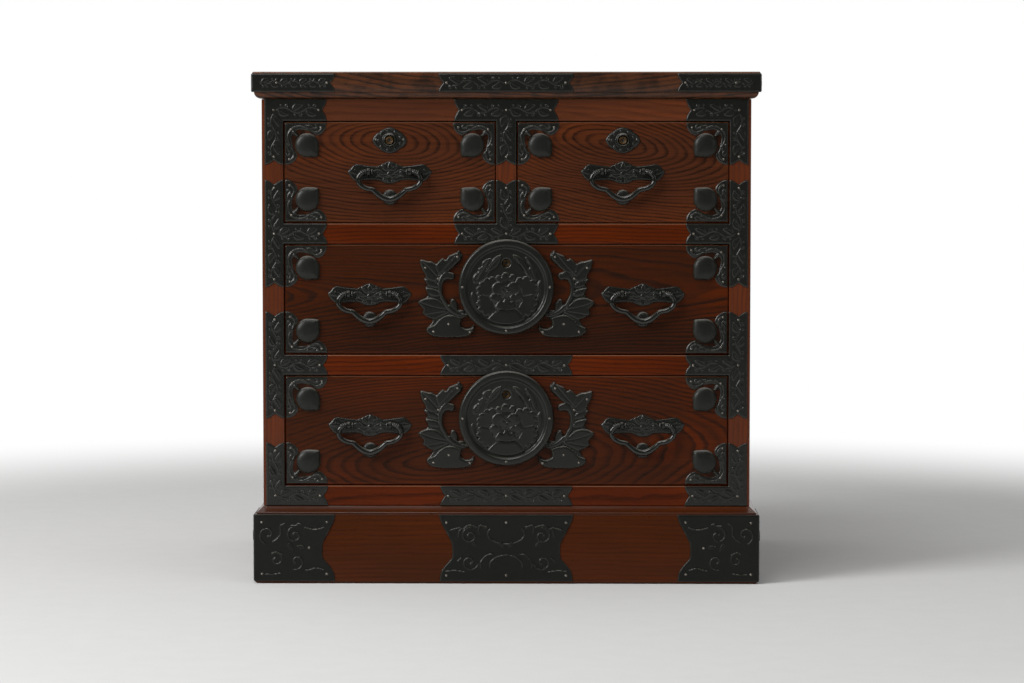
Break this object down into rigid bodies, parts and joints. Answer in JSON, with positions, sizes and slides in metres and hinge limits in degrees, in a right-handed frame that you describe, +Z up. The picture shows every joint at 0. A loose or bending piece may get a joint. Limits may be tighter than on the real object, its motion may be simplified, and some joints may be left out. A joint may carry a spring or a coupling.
{
  "type": "tansu chest",
  "caption": "Low lacquered drawer chest on a plinth, with black iron corner fittings, bail handles, round lock plates and keyed drawers that slide out.",
  "frame": {"origin": "on the floor under the middle of the chest", "axes": "+Z up, front and drawers towards -Y, +X to the right as seen from the front"},
  "size_m": [0.606, 0.424, 0.611],
  "materials": {
    "lacquered_wood": "red-brown lacquer over open grain, satin",
    "drawer_front": "dark red-brown lacquer over figured grain, satin, with black iron corners",
    "bare_wood": "plain planed softwood",
    "iron": "black lacquered, engraved",
    "brass": "dull"
  },
  "bodies": {
    "carcass": {"back_panel": "lacquered_wood", "base_center_plate": "iron", "base_frame": "lacquered_wood", "base_front": "lacquered_wood", "base_left_plate": "iron", "base_right_plate": "iron", "bottom_board": "bare_wood", "bottom_left_iron": "iron", "bottom_rail": "lacquered_wood", "bottom_rail_strap": "iron", "bottom_right_iron": "iron", "center_partition": "lacquered_wood", "left_side": "lacquered_wood", "lower_dust_panel": "bare_wood", "lower_left_tee": "iron", "lower_rail": "lacquered_wood", "lower_rail_strap": "iron", "lower_right_tee": "iron", "right_side": "lacquered_wood", "top_board": "lacquered_wood", "top_center_strap": "iron", "top_center_tee": "iron", "top_left_iron": "iron", "top_left_strap": "iron", "top_rail": "lacquered_wood", "top_right_iron": "iron", "top_right_strap": "iron", "upper_center_tee": "iron", "upper_dust_panel": "bare_wood", "upper_left_tee": "iron", "upper_rail": "lacquered_wood", "upper_right_tee": "iron"},
    "upper_left_drawer": {"upper_left_drawer_box": "bare_wood", "upper_left_drawer_escutcheon": "iron", "upper_left_drawer_front": "drawer_front", "upper_left_drawer_handle_plate": "iron"},
    "upper_left_drawer_bail": {"upper_left_drawer_bail": "iron"},
    "upper_left_drawer_lock_cylinder": {"upper_left_drawer_lock_cylinder": "brass"},
    "upper_right_drawer": {"upper_right_drawer_box": "bare_wood", "upper_right_drawer_escutcheon": "iron", "upper_right_drawer_front": "drawer_front", "upper_right_drawer_handle_plate": "iron"},
    "upper_right_drawer_bail": {"upper_right_drawer_bail": "iron"},
    "upper_right_drawer_lock_cylinder": {"upper_right_drawer_lock_cylinder": "brass"},
    "middle_drawer": {"middle_drawer_box": "bare_wood", "middle_drawer_front": "drawer_front", "middle_drawer_left_handle_plate": "iron", "middle_drawer_lock_plate": "iron", "middle_drawer_right_handle_plate": "iron"},
    "middle_drawer_left_bail": {"middle_drawer_left_bail": "iron"},
    "middle_drawer_right_bail": {"middle_drawer_right_bail": "iron"},
    "middle_drawer_lock_cylinder": {"middle_drawer_lock_cylinder": "brass"},
    "bottom_drawer": {"bottom_drawer_box": "bare_wood", "bottom_drawer_front": "drawer_front", "bottom_drawer_left_handle_plate": "iron", "bottom_drawer_lock_plate": "iron", "bottom_drawer_right_handle_plate": "iron"},
    "bottom_drawer_left_bail": {"bottom_drawer_left_bail": "iron"},
    "bottom_drawer_right_bail": {"bottom_drawer_right_bail": "iron"},
    "bottom_drawer_lock_cylinder": {"bottom_drawer_lock_cylinder": "brass"}
  },
  "joints": [
    {"name": "upper_left_drawer_slide", "type": "slide", "parent": "carcass", "child": "upper_left_drawer", "axis": [0, -1, 0], "range_m": [0, 0.3]},
    {"name": "upper_left_drawer_bail_swing", "type": "hinge", "parent": "upper_left_drawer", "child": "upper_left_drawer_bail", "pos_m": [-0.13875, -0.206, 0.4922], "axis": [-1, 0, 0], "range_deg": [0, 100]},
    {"name": "upper_left_drawer_lock_cylinder_turn", "type": "hinge", "parent": "upper_left_drawer", "child": "upper_left_drawer_lock_cylinder", "pos_m": [-0.13875, -0.198, 0.5297], "axis": [0, -1, 0], "range_deg": [0, 90]},
    {"name": "upper_right_drawer_slide", "type": "slide", "parent": "carcass", "child": "upper_right_drawer", "axis": [0, -1, 0], "range_m": [0, 0.3]},
    {"name": "upper_right_drawer_bail_swing", "type": "hinge", "parent": "upper_right_drawer", "child": "upper_right_drawer_bail", "pos_m": [0.13875, -0.206, 0.4922], "axis": [-1, 0, 0], "range_deg": [0, 100]},
    {"name": "upper_right_drawer_lock_cylinder_turn", "type": "hinge", "parent": "upper_right_drawer", "child": "upper_right_drawer_lock_cylinder", "pos_m": [0.13875, -0.198, 0.5297], "axis": [0, -1, 0], "range_deg": [0, 90]},
    {"name": "middle_drawer_slide", "type": "slide", "parent": "carcass", "child": "middle_drawer", "axis": [0, -1, 0], "range_m": [0, 0.3]},
    {"name": "middle_drawer_left_bail_swing", "type": "hinge", "parent": "middle_drawer", "child": "middle_drawer_left_bail", "pos_m": [-0.16302, -0.206, 0.3467], "axis": [-1, 0, 0], "range_deg": [0, 100]},
    {"name": "middle_drawer_right_bail_swing", "type": "hinge", "parent": "middle_drawer", "child": "middle_drawer_right_bail", "pos_m": [0.16302, -0.206, 0.3467], "axis": [-1, 0, 0], "range_deg": [0, 100]},
    {"name": "middle_drawer_lock_cylinder_turn", "type": "hinge", "parent": "middle_drawer", "child": "middle_drawer_lock_cylinder", "pos_m": [0, -0.198, 0.3837], "axis": [0, -1, 0], "range_deg": [0, 90]},
    {"name": "bottom_drawer_slide", "type": "slide", "parent": "carcass", "child": "bottom_drawer", "axis": [0, -1, 0], "range_m": [0, 0.3]},
    {"name": "bottom_drawer_left_bail_swing", "type": "hinge", "parent": "bottom_drawer", "child": "bottom_drawer_left_bail", "pos_m": [-0.16302, -0.206, 0.1897], "axis": [-1, 0, 0], "range_deg": [0, 100]},
    {"name": "bottom_drawer_right_bail_swing", "type": "hinge", "parent": "bottom_drawer", "child": "bottom_drawer_right_bail", "pos_m": [0.16302, -0.206, 0.1897], "axis": [-1, 0, 0], "range_deg": [0, 100]},
    {"name": "bottom_drawer_lock_cylinder_turn", "type": "hinge", "parent": "bottom_drawer", "child": "bottom_drawer_lock_cylinder", "pos_m": [0, -0.198, 0.2267], "axis": [0, -1, 0], "range_deg": [0, 90]}
  ]
}
